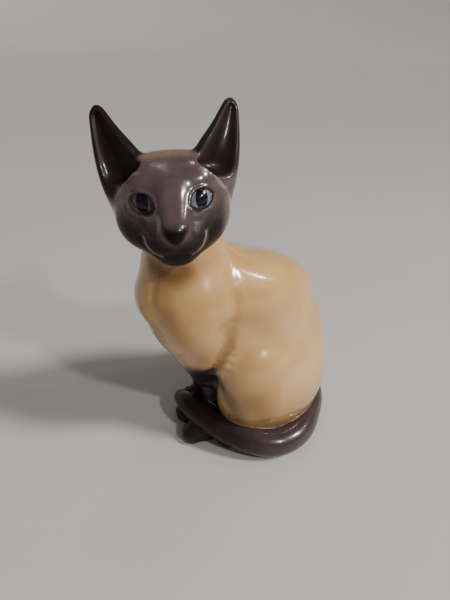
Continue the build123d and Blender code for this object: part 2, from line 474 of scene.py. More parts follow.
# The boxes, in BODY or HEAD, outside which a part's distance doesn't matter.
TORSO_BOX = (-65, -60, -20), (85, 60, 160)
HEAD_BOX = (-45, -55, -40), (45, 45, 40)
EAR_BOX = {1: ((0, -30, -20), (55, 40, 55)), -1: ((-55, -30, -20), (0, 40, 55))}
LEG_BOX = (5, -35, -20), (70, 35, 95)
FOOT_BOX = (-20, -45, -20), (50, 45, 30)
TAIL_BOX = (-65, -40, -20), (65, 70, 45)


def some(function, points, box, *others, results=1):
    """The function's results for the points in a box, and FAR for the rest."""
    low, high = box
    near = ((points > low) & (points < high)).all(1)
    values = np.full((results, len(points)), FAR)
    if near.any():
        values[:, near] = function(points[near], *others)
    return values if results > 1 else values[0]


def fields(points):
    """Each casting's own field in the order of PIECES, the whole cat's, the head's before its ears are
    scooped out, the two scoops', and how far along the tail each point is."""
    b, h = to_body(points), to_head(points)
    torso = some(torso_field, b, TORSO_BOX)
    head = some(head_field, h, HEAD_BOX)
    ears = [some(ear_fields, h, EAR_BOX[side], side, results=2) for side in (1, -1)]
    legs = [some(foreleg_field, b, LEG_BOX, side) for side in (1, -1)]
    feet = [some(hind_foot_field, b, FOOT_BOX, side) for side in (1, -1)]
    tail, along = some(tube, b, TAIL_BOX, TAIL, results=2)

    both_legs = join(legs[0], legs[1], 1.2 + 6.0 * smooth_step(b[:, 2], 14.0, 36.0))
    cat = join(torso, both_legs, 1.4 + 8.0 * smooth_step(b[:, 2], 40.0, 56.0))
    for foot in feet:
        cat = join(cat, foot, 1.6)
    cat = join(cat, tail, 0.9 + 8.0 * smooth_step(-along, -1.3, -0.2))

    whole_skull = head
    for outside, _ in ears:
        whole_skull = join(whole_skull, outside, 4.0)
    skull = whole_skull
    for _, hollow in ears:
        skull = carve(skull, hollow, 2.4)
    cat = join(cat, skull, 1.2)

    own = [torso, head, *[outside for outside, _ in ears], *legs, *feet, tail]
    scoop = np.minimum(ears[0][1], ears[1][1])
    return np.stack(own, 1), cat, whole_skull, scoop, along


def cut(points, cat):
    """The cat's field with the floor and the base plate's recess taken away."""
    cat = np.maximum(cat, -points[:, 2])
    round_plate = np.hypot(points[:, 0], points[:, 1]) - PLATE_RADIUS - PLATE_GAP
    return np.maximum(cat, -np.maximum(round_plate, points[:, 2] - PLATE_THICKNESS))


def cat_field(points):
    return cut(points, fields(points)[1])


# ---------------------------------------------------------------- the glaze's tints

# BODY, on the left side: the lines along which shade is painted, in the folds, down the chest's side, along
# the neck, in the chin's shadow on the chest and on the haunch's lower front.
WARM_FLANK = [
    (27.5, 26.0, 104.0), (28.6, 29.0, 92.0), (31.0, 28.5, 79.0), (35.5, 27.0, 69.0), (37.0, 22.0, 60.0),
]
WARM_STIFLE = [(30.0, 28.5, 84.0), (32.0, 28.0, 76.0), (35.5, 26.5, 68.0), (37.5, 22.0, 58.0)]
WARM_THIGH = [(31.0, 29.0, 81.0), (23.0, 30.5, 80.5), (14.0, 31.0, 78.0)]
WARM_CHEST = [
    (60.0, 12.0, 118.0), (63.0, 14.0, 106.0), (60.0, 18.0, 96.0), (52.0, 20.0, 82.0), (42.0, 18.0, 64.0),
]
WARM_NECK = [(36.0, 16.0, 124.0), (50.0, 18.0, 121.0), (60.0, 8.0, 122.0)]
HAUNCH_FRONT_SHADE = [(29.0, 32.0, 20.0), (30.0, 30.0, 32.0), (32.0, 25.0, 40.5), (34.0, 20.0, 48.0)]
HAUNCH_LOW_SHADE = [(29.0, 32.0, 24.0), (22.0, 37.4, 38.0), (15.3, 39.7, 25.5)]
CHIN_SHADOW_ON_CHEST = [(61.0, 8.0, 121.0), (57.5, 12.0, 117.0), (54.0, 15.5, 117.0), (50.0, 17.5, 119.5)]
# Painted shade on the cream glaze, first orange-brown, then dark: how strongly, along which line, and how
# widely.
WARM_STROKES = [
    (0.45, WARM_FLANK, 6.0),
    (0.95, WARM_STIFLE, 4.8),
    (0.45, WARM_THIGH, 6.5),
    (0.75, WARM_CHEST, 8.0),
    (0.5, WARM_NECK, 7.0),
    (0.8, CHIN_SHADOW_ON_CHEST, 8.0),
    (0.45, HAUNCH_FRONT_SHADE, 8.0),
    (0.45, HAUNCH_LOW_SHADE, 10.0),
]
SHADE_STROKES = [
    (0.5, HAUNCH_FRONT_SHADE, 7.0),
    (0.55, CHIN_SHADOW_ON_CHEST, 6.0),
    (0.27, HAUNCH_LOW_SHADE, 9.0),
    (0.16, WARM_STIFLE, 7.0),
]
POINT_TOP = (54.0, 67.0)  # heights between which the legs' dark glaze fades out


def strongest(tints):
    return np.maximum.reduce(list(tints))


def strokes(points, rows):
    return strongest(amount * stroke(points, route, width) for amount, route, width in rows)


class Surroundings:
    """Where each point is, how far it is from the cat's parts, and how much it is on each of them."""

    def __init__(self, points):
        own, _, self.whole_skull, self.scoop, self.along = fields(points)
        self.b, self.h = to_body(points), to_head(points)
        self.m = mirrored(self.h)
        self.flat = self.m * [1, 0, 1]
        self.torso, self.head, self.tail = own[:, BODY], own[:, HEAD], own[:, TAIL_PIECE]
        self.ears, self.legs = own[:, EARS].min(1), own[:, LEGS].min(1)
        self.feet = np.minimum(own[:, FEET].min(1), self.tail)

        self.on_head = smooth_step(self.torso - np.minimum(self.head, self.ears), -0.3, 0.3)
        self.on_ear = smooth_step(self.head - self.ears, -3.0, 1.5)
        self.on_leg = smooth_step(-self.legs, -5.9, -3.2) * (1.0 - smooth_step(self.b[:, 2], *POINT_TOP))
        edge = 0.35 + 2.6 * smooth_step(-self.along, -1.4, -0.3)
        self.on_foot = smooth_step((self.torso - self.feet) / edge, -1.0, 1.0) * (self.feet < NEAR)
        self.front = smooth_step(-self.h[:, 1], *EYE_FRONT)
        self.left_cheek = smooth_step(self.h[:, 0], 18.5, 23.0) * smooth_step(-self.h[:, 2], -10.0, -4.0)
        # Painted shade: the body darker towards the bottom.
        self.lower_body_shade = 0.3 * (1.0 - smooth_step(self.b[:, 2], 16.0, 50.0))
        # Painted shadow of the chin on the front of the neck and chest, strongest on the cat's right.
        chin_shadow = (1.0 - self.on_head) * np.exp(-(np.clip(self.head, 0.0, None) / 9.0) ** 2)
        chin_shadow *= smooth_step(-self.h[:, 1], 2.0, 14.0)
        self.chin_shadow = chin_shadow * smooth_step(-self.h[:, 0], -10.0, 4.0)


def dark_tint(at):
    """The dark points: legs, feet, tail, face and ears, and painted shade on the cream body: the haunch's
    lower front, the darkening towards the bottom and the chin's shadow.
    """
    face = smooth_step(-at.h[:, 1] + 0.5 * at.h[:, 2], -1.0, 12.0)
    face *= 1.0 - 0.36 * smooth_step(at.h[:, 2], 18.8, 21.2)
    face *= 1.0 - 0.22 * at.left_cheek
    # Painted shade on the cream body.
    painted_shade = strongest([0.3 * stroke(at.b, HAUNCH_FRONT_SHADE, 6.5), at.lower_body_shade, 0.2 * at.chin_shadow])
    return strongest([
        at.on_leg,
        at.on_foot,
        at.on_head * np.maximum(face, at.on_ear),
        (1.0 - at.on_head) * painted_shade,
    ])


def deep_face(at):
    """The face's blackest glaze on the eyes' lining, nose and mouth, and painted shade in the hollows of the
    cheeks and over the lower face.
    """
    _, _, outside = eye_plane(at.m)
    lining = np.exp(-((outside - 0.25) / 0.5) ** 2)
    mouth = stroke(at.flat, on_side(MOUTH), 1.2)
    nose_side = at.m[:, 0] - 5.4 + 0.55 * np.clip(-2.5 - at.h[:, 2], 0.0, None)
    nose = smooth_step(-nose_side, -1.9, 1.5) * smooth_step(-at.h[:, 1], 26.0, 28.5)
    nose *= smooth_step(-at.h[:, 2], -1.4, 2.4) * (at.h[:, 2] > -11.0)
    # Painted shade in the hollows of the cheeks.
    cheek = stroke(at.flat, on_side(CHEEK_HOLLOW_SHADE), 2.6)
    # Painted shade over the lower face, darker lower down and towards its sides, and lighter at the cat's
    # left cheek.
    below = at.on_head * smooth_step(-at.h[:, 2] + 0.35 * at.m[:, 0], 0.0, 13.0)
    below *= 1.0 - 0.65 * at.left_cheek
    return at.front * strongest([0.75 * lining, 0.8 * mouth, 0.92 * nose, 0.75 * cheek, 0.88 * below])


def deep_ears(at):
    """The ears' blackest glaze with painted shade: in their dishes' hollows, and on their outsides, where the
    right ear is darker and darkened further down, as painted shade, and the left ear's foot is lighter.
    """
    inside = smooth_step(-at.whole_skull, 0.1, 2.2) * (at.scoop < 1.0)
    left = at.h[:, 0] > 0.0
    # The right ear is painted in shade: darker, and down to its foot.
    amount, foot = np.where(left, 0.74, 0.88), np.where(left, 8.0, 0.0)
    outside = amount * smooth_step(at.h[:, 2] - foot, 0.0, 7.0) * at.on_head * at.on_ear
    return np.maximum(0.85 * inside, outside)


def deep_tint(at):
    """Where the glaze is blackest on the dark points, and painted shade: on the face and ears, where the body
    meets the limbs, over the limbs, most at the front, and on the cream glaze.
    """
    limbs = np.minimum(at.legs, at.feet)
    # Painted shade where the body meets the legs, feet and tail.
    under = smooth_step(at.torso - limbs, -2.0, 0.5) * np.exp(-np.clip(at.torso, 0, None) / 1.3)
    # The limbs' glaze is blacker than the points' own and is also painted in shade, most at the front.
    fore = 0.45 + 0.33 * smooth_step(at.b[:, 0], 16.0, 36.0)
    return strongest([
        deep_face(at),
        deep_ears(at),
        0.5 * under * smooth_step(-at.b[:, 2], -46.0, -34.0),
        fore * np.maximum(at.on_leg, at.on_foot),
        # Painted shade on the cream glaze: its strokes, and the darkening towards the bottom.
        (1.0 - at.on_head) * np.maximum(strokes(at.b, SHADE_STROKES), 0.5 * at.lower_body_shade),
    ])


def pale_tint(at):
    """The thin pale lines where the glaze ran off an edge, and the painted smile. The line on the ears' foot
    ridge is painted brighter on the cat's left, as painted light.
    """
    jaw = np.exp(-((at.head - at.torso) / 0.45) ** 2) * smooth_step(-at.h[:, 1], 0.0, 6.0)
    ear_rim = np.exp(-(np.maximum(np.abs(at.whole_skull), np.abs(at.scoop)) / 0.55) ** 2)
    haunch_hem = np.exp(-((at.tail - at.torso - 0.55) / 0.5) ** 2) * smooth_step(at.along, 1.6, 2.4)
    haunch_hem *= at.tail < NEAR
    # Thin glaze on the ridge, painted stronger on the cat's left side as painted light and fainter on its
    # shaded right side.
    ear_ridge = smooth_step(at.m[:, 0], *EAR_RIDGE_START) * (0.7 + 0.3 * np.sign(at.h[:, 0]))
    ear_ridge *= stroke(at.m, EAR_RIDGE, 0.8)
    return strongest([
        0.7 * jaw,
        0.08 * ear_rim,
        0.5 * at.front * stroke(at.flat, on_side(SMILE), 0.55),
        0.6 * ear_ridge,
        0.8 * haunch_hem,
        0.4 * stroke(at.b, CHEST_RIDGE, 1.4),
    ])


def warm_tint(at):
    """The orange-brown tint: painted shade in the folds, in the chin's shadow, down the chest's side, on the
    haunch's lower front and towards the body's bottom, and a plain tint over the body's front and low on its
    front above the forelegs.
    """
    x, height = at.b[:, 0], at.b[:, 2]
    return strongest([
        strokes(at.b, WARM_STROKES),
        # Painted shade in the right side's stifle fold.
        0.9 * stroke(from_side(at.b, -1), WARM_STIFLE, 3.6),
        # Painted shadow of the chin.
        0.9 * at.chin_shadow,
        0.5 * smooth_step(-height, -62.0, -46.0) * smooth_step(x, 22.0, 32.0),
        0.3 * smooth_step(-height, -140.0, -90.0) * smooth_step(x, -8.0, 28.0),
        # Painted shade, darker towards the bottom.
        0.45 * smooth_step(-height, -52.0, -14.0),
    ])


def masks(points):
    """How much of each tint the glaze has at each point, from 0 to 1, by the tint's name."""
    at = Surroundings(points)
    return {"dark": dark_tint(at), "black_and_shade": deep_tint(at), "pale": pale_tint(at), "warm_and_shade": warm_tint(at)}


# ---------------------------------------------------------------- meshing

MARGIN = 3.0  # how far the grid reaches past the CAD box
EXACT_REACH = 1.7  # coarse cells from the surface where each fine cell is worked out
SLOPE_STEP = 0.02
CORNERS = [(i, j, k) for i in (0, 1) for j in (0, 1) for k in (0, 1)]


def in_chunks(function, points, size=120000):
    parts = [function(points[i:i + size]) for i in range(0, len(points), size)]
    return np.concatenate(parts)


def field_and_piece(points):
    """The cat's field, and the number of the piece that each point is in, or OUTSIDE."""
    found = fields(points)
    cat = cut(points, found[1])
    return np.stack([cat, np.where(cat < 0.0, found[0].argmin(1), OUTSIDE)], 1)


def spread(marks):
    """The marked grid points and their neighbours."""
    wide = marks.copy()
    for axis in range(3):
        wide |= np.roll(wide, 1, axis) | np.roll(wide, -1, axis)
    return wide


def seams(piece):
    """The coarse grid points where one piece meets another."""
    seam = np.zeros(piece.shape, bool)
    for axis in range(3):
        after = np.roll(piece, -1, axis)
        seam |= (piece != after) & (piece != OUTSIDE) & (after != OUTSIDE)
    return seam


def field_on_grid(low, shape):
    """The field and the piece at every grid point: exact near a surface or a seam, coarse elsewhere."""
    steps = [int(np.ceil(n / COARSE)) + 1 for n in shape]
    axes = [low[i] + CELL * COARSE * np.arange(steps[i]) for i in range(3)]
    coarse_points = np.stack(np.meshgrid(*axes, indexing="ij"), -1).reshape(-1, 3)
    found = in_chunks(field_and_piece, coarse_points)
    value, piece = found[:, 0].reshape(steps), found[:, 1].reshape(steps)
    exact = (np.abs(value) < EXACT_REACH * CELL * COARSE) | spread(seams(piece))

    nearest = [np.round(np.arange(n) / COARSE).astype(int) for n in shape]
    index = np.ix_(*[np.clip(nearest[i], 0, steps[i] - 1) for i in range(3)])
    values = value[index].astype(np.float32)
    pieces = piece[index].astype(np.int8)
    near = np.argwhere(exact[index])
    found = in_chunks(field_and_piece, low + CELL * near)
    values[tuple(near.T)] = found[:, 0]
    pieces[tuple(near.T)] = found[:, 1]
    return values, pieces


def mixed_cells(pieces):
    """The cells that hold more than one piece, counting the outside as one, the number of each by its place
    in the grid, and whether it touches the outside."""
    shape = np.array(pieces.shape)
    lowest = np.full(shape - 1, len(PIECES), np.int8)
    highest = np.full(shape - 1, OUTSIDE, np.int8)
    for i, j, k in CORNERS:
        part = pieces[i:shape[0] - 1 + i, j:shape[1] - 1 + j, k:shape[2] - 1 + k]
        lowest, highest = np.minimum(lowest, part), np.maximum(highest, part)
    cells = np.argwhere(lowest != highest)
    number = np.full(shape - 1, -1, np.int64)
    number[tuple(cells.T)] = np.arange(len(cells))
    return cells, number, lowest[tuple(cells.T)] == OUTSIDE


def middles_of_crossings(values, pieces, cells, open_air):
    """Where each cell's vertex goes, in cells from its corner: the middle of the places where the cell's
    edges pass through the surface, or through a seam in a cell that is all inside."""
    value = {c: values[tuple((cells + c).T)].astype(float) for c in CORNERS}
    piece = {c: pieces[tuple((cells + c).T)] for c in CORNERS}
    total, crossings = np.zeros((len(cells), 3)), np.zeros(len(cells))
    for axis in range(3):
        for start in CORNERS:
            if start[axis]:
                continue
            end = tuple(1 if n == axis else v for n, v in enumerate(start))
            surface = (piece[start] == OUTSIDE) != (piece[end] == OUTSIDE)
            crossed = np.where(open_air, surface, piece[start] != piece[end])
            drop = np.where(surface, value[start] - value[end], 1.0)
            place = np.repeat([start], len(cells), 0).astype(float)
            place[:, axis] += np.where(surface, value[start] / drop, 0.5)
            total += place * crossed[:, None]
            crossings += crossed
    return total / crossings[:, None]


def quads_between(pieces, number):
    """One quad across each grid edge whose ends differ, with the pieces behind it and ahead of it."""
    shape = pieces.shape
    quads, behind, ahead = [], [], []
    for axis in range(3):
        one, two = (axis + 1) % 3, (axis + 2) % 3
        first = pieces[tuple(slice(0, -1) if n == axis else slice(None) for n in range(3))]
        second = pieces[tuple(slice(1, None) if n == axis else slice(None) for n in range(3))]
        edges = np.argwhere(first != second)
        within = (edges[:, one] > 0) & (edges[:, two] > 0)
        within &= (edges[:, one] < shape[one] - 1) & (edges[:, two] < shape[two] - 1)
        edges = edges[within]
        ring = []
        for back_one, back_two in ((1, 1), (0, 1), (0, 0), (1, 0)):
            cell = edges.copy()
            cell[:, one] -= back_one
            cell[:, two] -= back_two
            ring.append(number[tuple(cell.T)])
        quads.append(np.stack(ring, 1))
        behind.append(first[tuple(edges.T)])
        ahead.append(second[tuple(edges.T)])
    return np.concatenate(quads), np.concatenate(behind), np.concatenate(ahead)


def surface_net(values, pieces, low):
    """The vertices and quads that part each piece from the outside and from its neighbours."""
    cells, number, open_air = mixed_cells(pieces)
    vertices = low + CELL * (cells + middles_of_crossings(values, pieces, cells, open_air))
    return vertices, *quads_between(pieces, number)


def value_and_slope(points):
    """The cat's field and its gradient."""
    value = in_chunks(cat_field, points)
    slope = np.empty((len(points), 3))
    for axis in range(3):
        shift = np.zeros(3)
        shift[axis] = SLOPE_STEP
        slope[:, axis] = (in_chunks(cat_field, points + shift) - value) / SLOPE_STEP
    return value, slope


def onto_surface(points, rounds):
    """Moves the points straight to the surface."""
    for _ in range(rounds):
        value, slope = value_and_slope(points)
        move = -value / (np.einsum("ij,ij->i", slope, slope) + 1e-6)
        points = points + np.clip(move[:, None] * slope, -CELL, CELL)
    return points


def sides_of(quads):
    """The quads' edges, each once with its ends in order, and each quad's four edges by number."""
    sides = np.sort(np.stack([quads, np.roll(quads, -1, 1)], -1), -1).reshape(-1, 2)
    edges, number = np.unique(sides, axis=0, return_inverse=True)
    return edges, number.reshape(-1, 4)


def relaxed(points, edges, moving):
    """The moving points halfway to the middle of their neighbours, which evens the mesh out."""
    count = np.bincount(edges.ravel(), minlength=len(points))[:, None]
    total = np.stack([
        np.bincount(edges[:, 0], points[edges[:, 1], axis], len(points))
        + np.bincount(edges[:, 1], points[edges[:, 0], axis], len(points))
        for axis in range(3)
    ], 1)
    middle = total / np.maximum(count, 1)
    return np.where(moving[:, None], 0.5 * points + 0.5 * middle, points)


def sculpted():
    """The whole cat's vertices, quads, and the pieces behind and ahead of each quad."""
    low = np.array(cad_box[0]) / MM - MARGIN
    high = np.array(cad_box[1]) / MM + MARGIN
    values, pieces = field_on_grid(low, np.ceil((high - low) / CELL).astype(int) + 1)
    points, quads, behind, ahead = surface_net(values, pieces, low)
    skin = (behind == OUTSIDE) | (ahead == OUTSIDE)
    on_skin = np.zeros(len(points), bool)
    on_skin[quads[skin]] = True
    points[on_skin] = onto_surface(points[on_skin], 1)
    points = relaxed(points, sides_of(quads[skin])[0], on_skin)
    points[on_skin] = onto_surface(points[on_skin], 2)
    edges = sides_of(quads)[0]
    for _ in range(3):
        points = relaxed(points, edges, ~on_skin)
    return points, quads, behind, ahead


def refined(points, quads, skin):
    """Each quad as four. The skin's new points go onto the surface, and the seams' stay where they are."""
    edges, sides = sides_of(quads)
    middles = points[edges].mean(1)
    inner = np.zeros(len(edges), bool)
    inner[sides[~skin]] = True
    middles[~inner] = onto_surface(middles[~inner], 2)
    centres = points[quads].mean(1)
    centres[skin] = onto_surface(centres[skin], 2)
    sides = sides + len(points)
    centre = len(points) + len(edges) + np.arange(len(quads))
    parts = [
        np.stack([quads[:, i], sides[:, i], centre, sides[:, i - 1]], 1)
        for i in range(4)
    ]
    return np.concatenate([points, middles, centres]), np.concatenate(parts), np.tile(skin, 4)


def casting(name, sculpt):
    """A casting's own vertices and quads, and which of the quads are its skin and not a seam."""
    points, quads, behind, ahead = sculpt
    label = PIECES.index(name)
    own = np.concatenate([quads[behind == label], quads[ahead == label][:, ::-1]])
    skin = np.concatenate([ahead[behind == label], behind[ahead == label]]) == OUTSIDE
    used, local = np.unique(own, return_inverse=True)
    places, faces = points[used], local.reshape(-1, 4)
    if name in FINE_PIECES:
        return refined(places, faces, skin)
    return places, faces, skin


def set_normals(mesh, places, faces, skin):
    """Gives the skin the field's own smooth normals, and leaves the seams flat."""
    slopes = value_and_slope(places)[1]
    slopes /= np.linalg.norm(slopes, axis=1)[:, None]
    flat = np.empty(3 * len(faces))
    mesh.polygons.foreach_get("normal", flat)
    normals = np.where(skin[:, None, None], slopes[faces], flat.reshape(-1, 1, 3))
    mesh.normals_split_custom_set(normals.reshape(-1, 3).tolist())


def make_piece(name, sculpt):
    """A casting as a closed mesh, with the glaze's tints on its vertices."""
    places, faces, skin = casting(name, sculpt)
    mesh = bpy.data.meshes.new(name)
    mesh.from_pydata((places * MM).tolist(), [], faces.tolist())
    mesh.polygons.foreach_set("use_smooth", skin)
    mesh.update()
    set_normals(mesh, places, faces, skin)
    for tint, amount in masks(places).items():
        attribute = mesh.attributes.new(tint, "FLOAT", "POINT")
        attribute.data.foreach_set("value", np.clip(amount, 0.0, 1.0))
    piece = bpy.data.objects.new(name, mesh)
    bpy.context.scene.collection.objects.link(piece)
    return piece


# ---------------------------------------------------------------- node helpers


def new_material(name):
    mat = bpy.data.materials.new(name)
    mat.use_nodes = True
    return mat, mat.node_tree, mat.node_tree.nodes["Principled BSDF"]


def wire(tree, value, socket):
    """Links the value to the socket if it is another node's output, and sets it if it is a number."""
    if isinstance(value, bpy.types.NodeSocket):
        tree.links.new(value, socket)
    else:
        socket.default_value = value


def maths(tree, operation, first, second=0.0):
    node = tree.nodes.new("ShaderNodeMath")
    node.operation = operation
    wire(tree, first, node.inputs[0])
    wire(tree, second, node.inputs[1])
    return node.outputs[0]


def plus(tree, first, second):
    return maths(tree, "ADD", first, second)


def minus(tree, first, second):
    return maths(tree, "SUBTRACT", first, second)


def times(tree, first, second):
    return maths(tree, "MULTIPLY", first, second)


def over(tree, first, second):
    return maths(tree, "DIVIDE", first, second)


def ramp(tree, value, low, high):
    """0 where the value is at most low, 1 where it is at least high, with soft ends."""
    node = tree.nodes.new("ShaderNodeMapRange")
    node.interpolation_type = "SMOOTHSTEP"
    wire(tree, value, node.inputs["Value"])
    node.inputs["From Min"].default_value = low
    node.inputs["From Max"].default_value = high
    return node.outputs["Result"]


def mixed(tree, amount, first, second):
    """The first colour, changed into the second by the amount."""
    node = tree.nodes.new("ShaderNodeMix")
    node.data_type = "RGBA"
    wire(tree, amount, node.inputs["Factor"])
    for colour, name in ((first, "A"), (second, "B")):
        wire(tree, colour, [s for s in node.inputs if s.name == name and s.type == "RGBA"][0])
    return [s for s in node.outputs if s.type == "RGBA"][0]


def paint(red, green, blue):
    """A colour from its three screen values, 0 to 255."""
    return (*[(v / 255.0) ** 2.2 for v in (red, green, blue)], 1.0)


def place_of(tree):
    return tree.nodes.new("ShaderNodeTexCoord").outputs["Object"]


def noise(tree, place, scale, detail=3.0, distortion=0.0):
    node = tree.nodes.new("ShaderNodeTexNoise")
    tree.links.new(place, node.inputs["Vector"])
    node.inputs["Scale"].default_value = scale
    node.inputs["Detail"].default_value = detail
    node.inputs["Distortion"].default_value = distortion
    return node.outputs["Fac"]


def tint_of(tree, name):
    node = tree.nodes.new("ShaderNodeAttribute")
    node.attribute_name = name
    return node.outputs["Fac"]


def bump(tree, shader, height, distance):
    node = tree.nodes.new("ShaderNodeBump")
    node.inputs["Distance"].default_value = distance
    tree.links.new(height, node.inputs["Height"])
    tree.links.new(node.outputs["Normal"], shader.inputs["Normal"])


def head_coordinate(tree, place, axis):
    """One of HEAD's coordinates, in mm, as a node."""
    node = tree.nodes.new("ShaderNodeVectorMath")
    node.operation = "DOT_PRODUCT"
    tree.links.new(place, node.inputs[0])
    node.inputs[1].default_value = HEAD_AXES[axis] / MM
    return minus(tree, node.outputs["Value"], float(HEAD_AXES[axis] @ HEAD_CENTRE))


# ---------------------------------------------------------------- materials

CREAM, CREAM_THICK, CREAM_SPECK = paint(211, 169, 111), paint(200, 153, 92), paint(184, 130, 74)
# The orange-brown of the painted shade on the cream glaze, and of a plain tint over the body's front.
WARM_BROWN = paint(152, 102, 54)
POINT, POINT_THICK, POINT_SPECK = paint(90, 72, 70), paint(74, 61, 63), paint(96, 74, 68)
# The brown-black of the face's paint and the ears, and of painted shade.
BROWN_BLACK = paint(20, 14, 14)
THIN_GLAZE = paint(176, 150, 132)
BISQUE, BISQUE_DULL, BISQUE_SPECK = paint(222, 212, 196), paint(204, 190, 170), paint(150, 124, 98)
FLOOR, FLOOR_DULL = paint(205, 203, 199), paint(198, 196, 192)
# The iris is painted in light and shade: lit on the cat's left eye, in shade on its right eye.
EYE_IRIS_LIT = paint(122, 124, 142)
EYE_IRIS_SHADED = paint(92, 86, 90)  # the right eye's iris
EYE_IRIS_EDGE = paint(52, 56, 68)
EYE_PUPIL = paint(18, 18, 28)
PUPIL_WIDTH, PUPIL_HEIGHT = 2.55, 4.2
PUPIL_INWARD = 0.3  # how far the pupil is from the eye's middle, towards the nose


def painted_eyes(tree, place, skin_colour):
    """The glaze's colour with the eyes painted on it, and where they are: iris, dark rim and oval pupil."""
    x, y, z = (head_coordinate(tree, place, axis) for axis in range(3))
    across = minus(tree, maths(tree, "ABSOLUTE", x), EYE_X)
    above = minus(tree, z, EYE_Z)
    c, s = cos(EYE_TILT), sin(EYE_TILT)
    along = plus(tree, times(tree, across, c), times(tree, above, s))
    up = minus(tree, times(tree, above, c), times(tree, across, s))
    share = maths(tree, "ABSOLUTE", over(tree, along, EYE_LENGTH))
    lid = times(tree, minus(tree, 1.0, maths(tree, "POWER", share, EYE_FULLNESS)), EYE_HEIGHT)
    opening = ramp(tree, minus(tree, lid, maths(tree, "ABSOLUTE", up)), 0.05, 0.45)
    opening = times(tree, opening, maths(tree, "LESS_THAN", y, -EYE_FRONT[0]))

    wide = over(tree, plus(tree, across, PUPIL_INWARD), PUPIL_WIDTH)
    tall = over(tree, above, PUPIL_HEIGHT)
    size = maths(tree, "SQRT", plus(tree, times(tree, wide, wide), times(tree, tall, tall)))
    flecks = noise(tree, place, 900.0)
    # Painted shade and light: the right iris in shade, the left one lightening towards its outer corner.
    iris = mixed(tree, ramp(tree, x, -6.0, 20.0), EYE_IRIS_SHADED, EYE_IRIS_LIT)
    iris = mixed(tree, ramp(tree, plus(tree, size, flecks), 1.7, 2.6), iris, EYE_IRIS_EDGE)
    eye = mixed(tree, ramp(tree, size, 0.93, 1.07), EYE_PUPIL, iris)
    return mixed(tree, opening, skin_colour, eye), opening


def glaze_colour(tree, place, fine):
    """Cream glaze and airbrushed dark points, brown-black paint on the face, painted shade in orange-brown,
    in the points' colour and in brown-black, and paler lines where it ran off an edge.
    """
    broad = noise(tree, place, 38.0, 2.0, 0.4)
    cream = mixed(tree, ramp(tree, broad, 0.35, 0.7), CREAM, CREAM_THICK)
    cream = mixed(tree, times(tree, fine, 0.16), cream, CREAM_SPECK)
    # Orange-brown painted shade, and a plain tint over the body's front.
    cream = mixed(tree, tint_of(tree, "warm_and_shade"), cream, WARM_BROWN)
    clouds = ramp(tree, noise(tree, place, 90.0, 3.0, 0.6), 0.3, 0.7)
    point = mixed(tree, clouds, POINT, POINT_THICK)
    point = mixed(tree, times(tree, fine, 0.2), point, POINT_SPECK)
    # The dark points, with painted shade in their colour on the cream body.
    dark = plus(tree, tint_of(tree, "dark"), times(tree, minus(tree, broad, 0.5), 0.12))
    dark = plus(tree, dark, times(tree, minus(tree, fine, 0.5), 0.18))
    colour = mixed(tree, ramp(tree, dark, 0.08, 0.92), cream, point)
    # Brown-black glaze and painted shade.
    colour = mixed(tree, tint_of(tree, "black_and_shade"), colour, BROWN_BLACK)
    return mixed(tree, tint_of(tree, "pale"), colour, THIN_GLAZE)


def glaze_material():
    """Shiny coloured glaze over porcelain. It shines less where the glaze is blackest or painted in
    brown-black shade, and on the eyes.
    """
    mat, tree, shader = new_material("cat_glaze")
    place = place_of(tree)
    fine = noise(tree, place, 420.0, 4.0)
    colour, opening = painted_eyes(tree, place, glaze_colour(tree, place, fine))
    tree.links.new(colour, shader.inputs["Base Color"])
    black_and_shade = tint_of(tree, "black_and_shade")
    rough = plus(tree, times(tree, fine, 0.1), 0.16)
    tree.links.new(plus(tree, rough, times(tree, black_and_shade, 0.15)), shader.inputs["Roughness"])
    shine = minus(tree, 1.0, times(tree, black_and_shade, 0.95))
    shine = times(tree, shine, minus(tree, 1.0, times(tree, opening, 0.55)))
    tree.links.new(times(tree, shine, 0.6), shader.inputs["Coat Weight"])
    tree.links.new(times(tree, shine, 0.5), shader.inputs["Specular IOR Level"])
    shader.inputs["Coat Roughness"].default_value = 0.07
    shader.inputs["IOR"].default_value = 1.52
    bump(tree, shader, noise(tree, place, 160.0, 2.0), 0.00012)
    return mat


def bisque_material():
    """Unglazed fired clay: chalky, faintly speckled, with a fine grain."""
    mat, tree, shader = new_material("bare_bisque")
    place = place_of(tree)
    speckle, grain = noise(tree, place, 700.0, 4.0), noise(tree, place, 2600.0, 2.0)
    colour = mixed(tree, ramp(tree, noise(tree, place, 60.0), 0.35, 0.7), BISQUE, BISQUE_DULL)
    colour = mixed(tree, ramp(tree, speckle, 0.66, 0.72), colour, BISQUE_SPECK)
    tree.links.new(colour, shader.inputs["Base Color"])
    tree.links.new(plus(tree, times(tree, speckle, 0.15), 0.75), shader.inputs["Roughness"])
    bump(tree, shader, grain, 0.00008)
    return mat


def floor_material():
    mat, tree, shader = new_material("studio_floor")
    colour = mixed(tree, noise(tree, place_of(tree), 6.0, 4.0), FLOOR, FLOOR_DULL)
    tree.links.new(colour, shader.inputs["Base Color"])
    shader.inputs["Roughness"].default_value = 0.55
    return mat


# ---------------------------------------------------------------- the pieces

STANDS_FOR = {
    "body_casting": "body_shell", "head_casting": "head_shell", "ear_left": "left_ear",
    "ear_right": "right_ear", "foreleg_left": "left_foreleg", "foreleg_right": "right_foreleg",
    "hind_foot_left": "left_hind_foot", "hind_foot_right": "right_hind_foot", "tail_casting": "tail",
}
glaze = glaze_material()
sculpt = sculpted()
for name in PIECES:
    piece = make_piece(name, sculpt)
    piece.data.materials.append(glaze)
    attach(piece, "root")
    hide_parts(STANDS_FOR[name])
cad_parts["base_plate"].material_slots[0].material = bisque_material()

# ---------------------------------------------------------------- camera, floor and light

